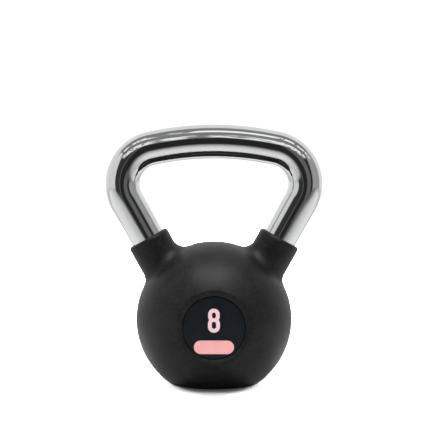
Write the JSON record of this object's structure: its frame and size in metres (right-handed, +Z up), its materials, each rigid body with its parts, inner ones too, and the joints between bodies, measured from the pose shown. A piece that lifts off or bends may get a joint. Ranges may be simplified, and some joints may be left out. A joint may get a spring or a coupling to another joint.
{
  "type": "kettlebell",
  "caption": "Rubber-covered kettlebell with a bent chromed tube handle, two rubber collars, a flat base and a round front badge with a weight numeral.",
  "frame": {"origin": "middle of the flat base, where the kettlebell stands on the floor", "axes": "+Z up through the ball to the handle, +X along the handle's top bar to the viewer's right, -Y towards the badge"},
  "size_m": [0.1918, 0.1306, 0.2285],
  "materials": {
    "jacket_rubber": "matte",
    "core_iron": "matte",
    "handle_chrome": "polished",
    "pin_steel": "satin",
    "adhesive_foam": "matte",
    "badge_plastic": "satin",
    "numeral_pink": "satin",
    "bar_pink": "satin"
  },
  "bodies": {
    "root": {"iron_core": "core_iron", "rubber_jacket": "jacket_rubber", "handle_tube": "handle_chrome", "left_cross_pin": "pin_steel", "right_cross_pin": "pin_steel", "badge_adhesive": "adhesive_foam", "badge_disc": "badge_plastic", "badge_numeral": "numeral_pink", "badge_colour_bar": "bar_pink"}
  },
  "joints": []
}
